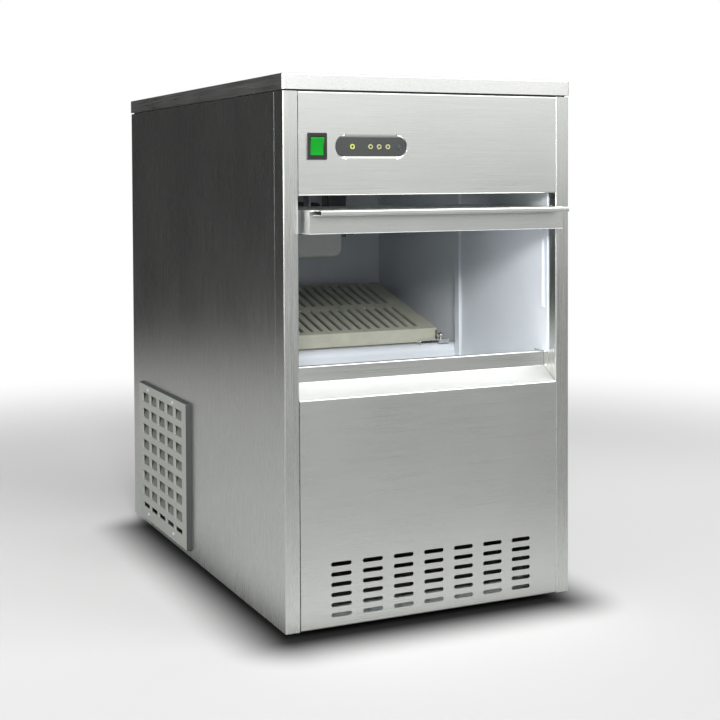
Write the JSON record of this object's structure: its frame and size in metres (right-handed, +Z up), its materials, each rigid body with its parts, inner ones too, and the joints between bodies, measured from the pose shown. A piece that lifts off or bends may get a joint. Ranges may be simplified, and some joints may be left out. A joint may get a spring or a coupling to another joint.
{
  "type": "ice cube machine",
  "caption": "Under-counter ice cube machine in brushed stainless steel: lift-up door, plastic bin, drain grid, tilting water tray, finned cooling set, side air grille.",
  "frame": {"origin": "centre of the footprint box, on the floor", "axes": "X across the machine, -Y out of the front with the door, +Z up"},
  "size_m": [0.3886, 0.688, 0.65],
  "materials": {
    "stainless": "fine vertical brush lines",
    "galvanised": "plain zinc coat",
    "liner_plastic": "moulded, half gloss",
    "grille_plastic": "fine satin",
    "grid_plastic": "moulded, satin",
    "grey_plastic": "moulded, satin",
    "window_plastic": "matt film",
    "lamp_lens": "clear tinted",
    "button_plastic": "satin",
    "switch_plastic": "half gloss",
    "rocker_plastic": "translucent",
    "foam": "rigid foam",
    "black_rubber": "matt",
    "white_plastic": "satin",
    "black_steel": "half gloss",
    "copper": "drawn tube",
    "plated_steel": "nickel plated",
    "motor_steel": "satin",
    "fin_aluminium": "thin sheet",
    "circuit_board": "lacquered"
  },
  "bodies": {
    "cabinet": {"left_side_panel": "stainless", "right_side_panel": "stainless", "back_panel": "stainless", "top_cover": "stainless", "front_post_left": "stainless", "front_post_right": "stainless", "lower_front_panel": "stainless", "control_panel": "stainless", "sensor_bracket": "stainless", "base_pan": "galvanised", "control_box": "galvanised", "fan_shroud": "galvanised", "evaporator_frame": "galvanised", "bin_liner": "liner_plastic", "liner_lid": "liner_plastic", "guide_panel_left": "liner_plastic", "guide_panel_right": "liner_plastic", "chamber_frame": "liner_plastic", "side_grille": "grille_plastic", "drain_grid": "grid_plastic", "water_reservoir": "grey_plastic", "indicator_window": "window_plastic", "indicator_lamps": "lamp_lens", "switch_body": "switch_plastic", "terminal_cover": "switch_plastic", "insulation_foam": "foam", "cover_seal": "black_rubber", "compressor_grommets": "black_rubber", "cord_bush": "black_rubber", "circulation_pump": "white_plastic", "water_inlet_valve": "white_plastic", "drain_spigot": "white_plastic", "drain_hose": "white_plastic", "water_hoses": "white_plastic", "compressor": "black_steel", "condenser_pipes": "copper", "evaporator_pipes": "copper", "filter_drier": "copper", "evaporator": "plated_steel", "thumb_screw": "plated_steel", "grille_screws": "plated_steel", "fan_motor": "motor_steel", "tray_motor": "motor_steel", "condenser": "fin_aluminium", "power_board": "circuit_board", "display_board": "circuit_board"},
    "door_crank": {"guide_corner_buttons": "grey_plastic"},
    "door": {"door_skin": "stainless", "door_liner": "liner_plastic", "door_foam": "foam", "door_pins": "grey_plastic"},
    "rocker": {"switch_rocker": "rocker_plastic"},
    "mode_button": {"select_button": "button_plastic"},
    "fan": {"fan_blade": "fin_aluminium"},
    "tray": {"water_tray": "grey_plastic", "tray_shaft": "plated_steel"},
    "foot_front_left_body": {"foot_front_left": "black_rubber"},
    "foot_front_right_body": {"foot_front_right": "black_rubber"},
    "foot_rear_left_body": {"foot_rear_left": "black_rubber"},
    "foot_rear_right_body": {"foot_rear_right": "black_rubber"}
  },
  "joints": [
    {"name": "door_lift", "type": "hinge", "parent": "cabinet", "child": "door_crank", "pos_m": [0, -0.27535, 0.4758], "axis": [-1, 0, 0], "range_deg": [0, 90]},
    {"name": "door_turn", "type": "hinge", "parent": "door_crank", "child": "door", "pos_m": [0, -0.22395, 0.4758], "axis": [1, 0, 0], "range_deg": [0, 180]},
    {"name": "rocker_tilt", "type": "hinge", "parent": "cabinet", "child": "rocker", "pos_m": [-0.1487, -0.29905, 0.5677], "axis": [1, 0, 0], "range_deg": [-16, 0]},
    {"name": "button_press", "type": "slide", "parent": "cabinet", "child": "mode_button", "axis": [0, 1, 0], "range_m": [0, 0.0008], "stiffness_N_per_m": 1200},
    {"name": "fan_spin", "type": "hinge", "parent": "cabinet", "child": "fan", "pos_m": [-0.133, 0.16695, 0.124], "axis": [1, 0, 0], "continuous": true},
    {"name": "tray_tilt", "type": "hinge", "parent": "cabinet", "child": "tray", "pos_m": [-0.045, 0.14995, 0.452], "axis": [1, 0, 0], "range_deg": [0, 90]},
    {"name": "foot_front_left_screw", "type": "slide", "parent": "cabinet", "child": "foot_front_left_body", "axis": [0, 0, -1], "range_m": [0, 0.01]},
    {"name": "foot_front_right_screw", "type": "slide", "parent": "cabinet", "child": "foot_front_right_body", "axis": [0, 0, -1], "range_m": [0, 0.01]},
    {"name": "foot_rear_left_screw", "type": "slide", "parent": "cabinet", "child": "foot_rear_left_body", "axis": [0, 0, -1], "range_m": [0, 0.01]},
    {"name": "foot_rear_right_screw", "type": "slide", "parent": "cabinet", "child": "foot_rear_right_body", "axis": [0, 0, -1], "range_m": [0, 0.01]}
  ],
  "couplings": [
    {"joint": "door_turn", "follows": "door_lift", "ratio": 2}
  ]
}
